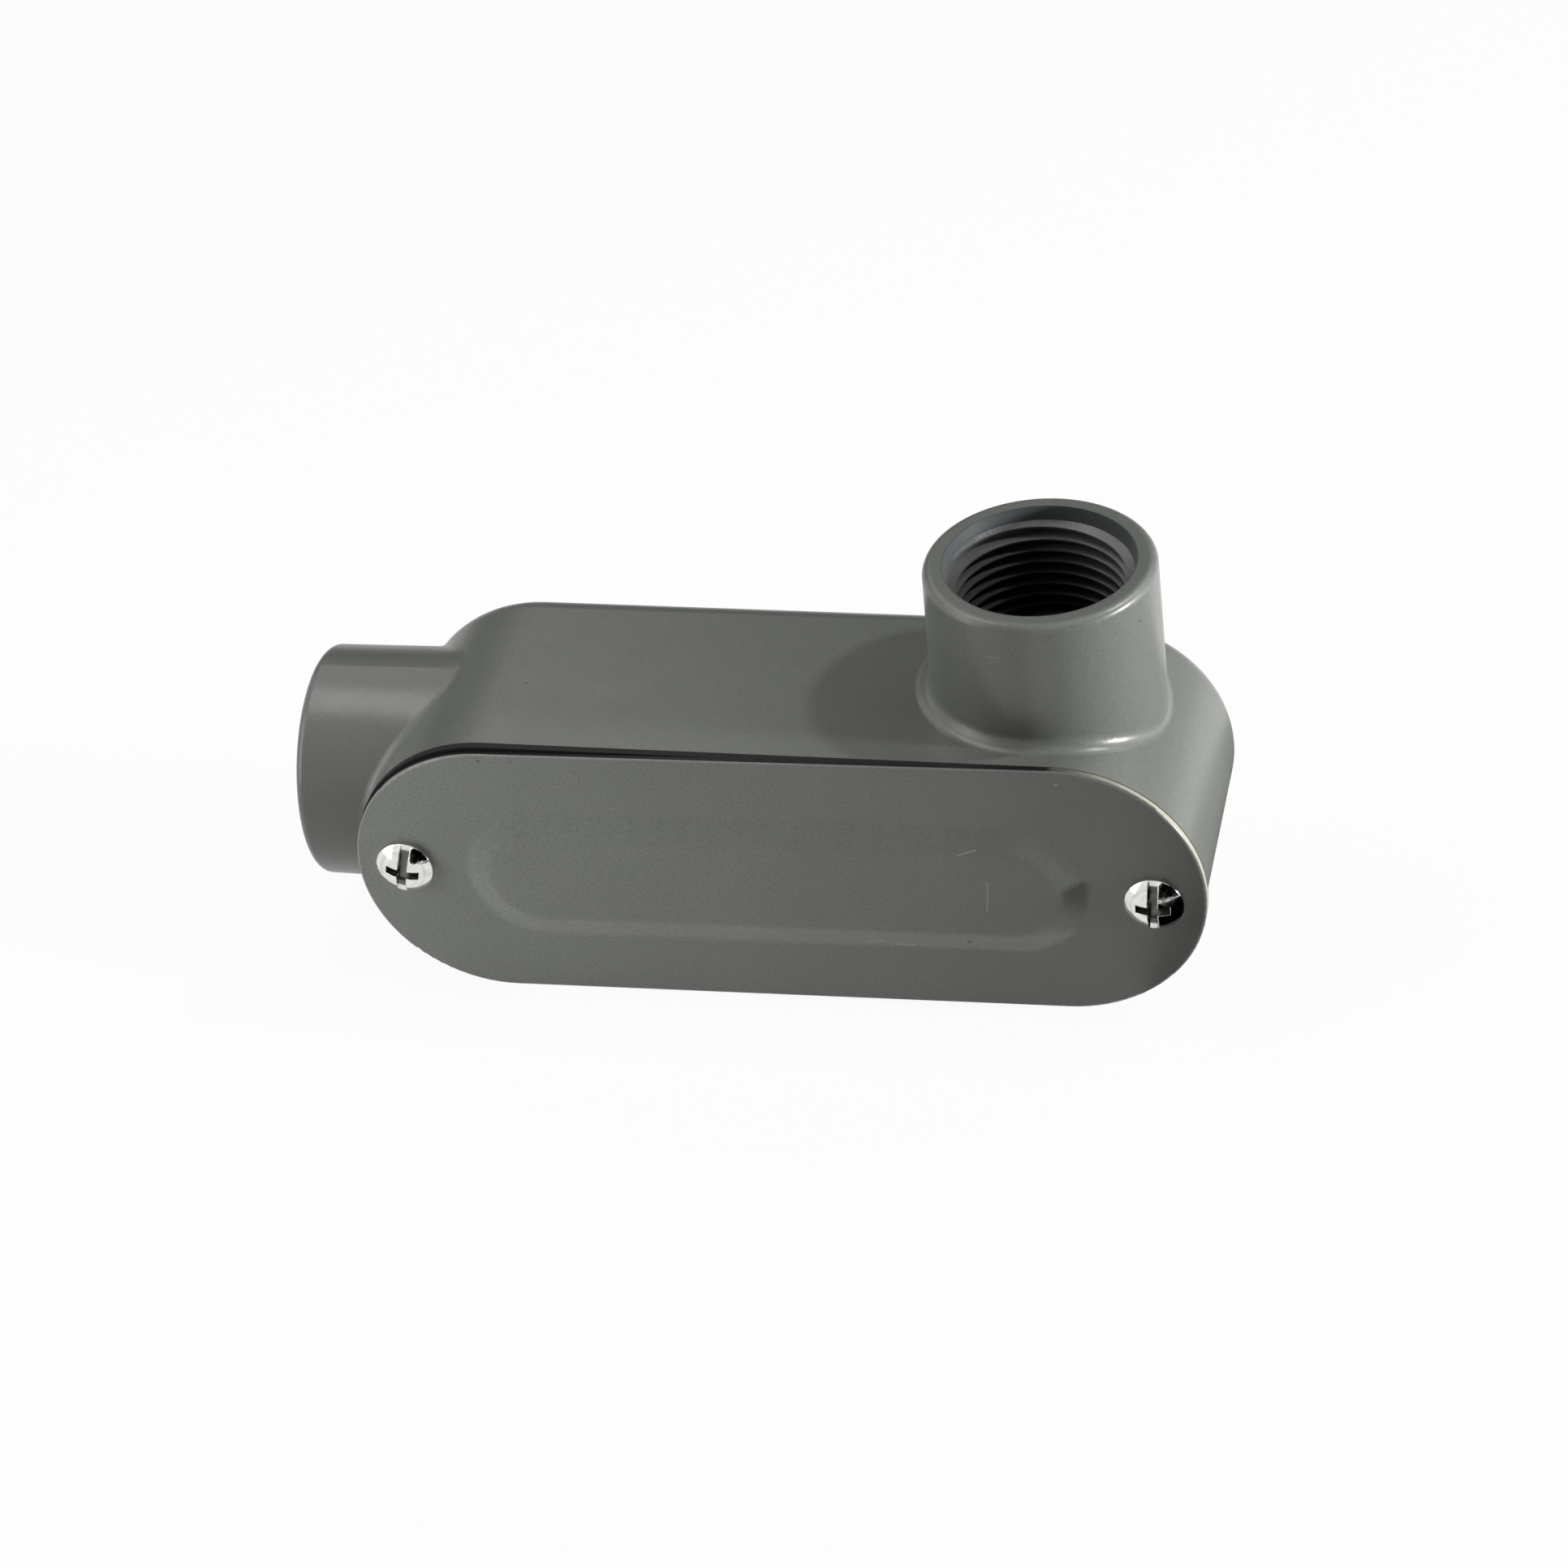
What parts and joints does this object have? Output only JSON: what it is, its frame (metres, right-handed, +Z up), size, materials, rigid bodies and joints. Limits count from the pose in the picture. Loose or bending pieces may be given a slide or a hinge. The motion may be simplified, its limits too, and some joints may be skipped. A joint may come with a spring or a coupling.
{
  "type": "conduit body",
  "caption": "Long round-ended cast conduit body with a threaded hub on one end and one on its side, open front closed by a gasketed stamped cover and two screws.",
  "frame": {"origin": "middle of the flat lower long side of the casting, which it stands on", "axes": "+Z up through the side hub, +X along the length away from the end hub, the cover faces -Y"},
  "size_m": [0.1323, 0.0429, 0.0615],
  "materials": {
    "grey_paint": "satin grey paint over cast metal",
    "cover_paint": "satin grey paint over stamped sheet",
    "black_rubber": "matt black rubber",
    "bright_plating": "bright plated steel"
  },
  "bodies": {
    "root": {"body_casting": "grey_paint", "cover_gasket": "black_rubber", "cover": "cover_paint", "cover_screw_left": "bright_plating", "cover_screw_right": "bright_plating"}
  },
  "joints": []
}
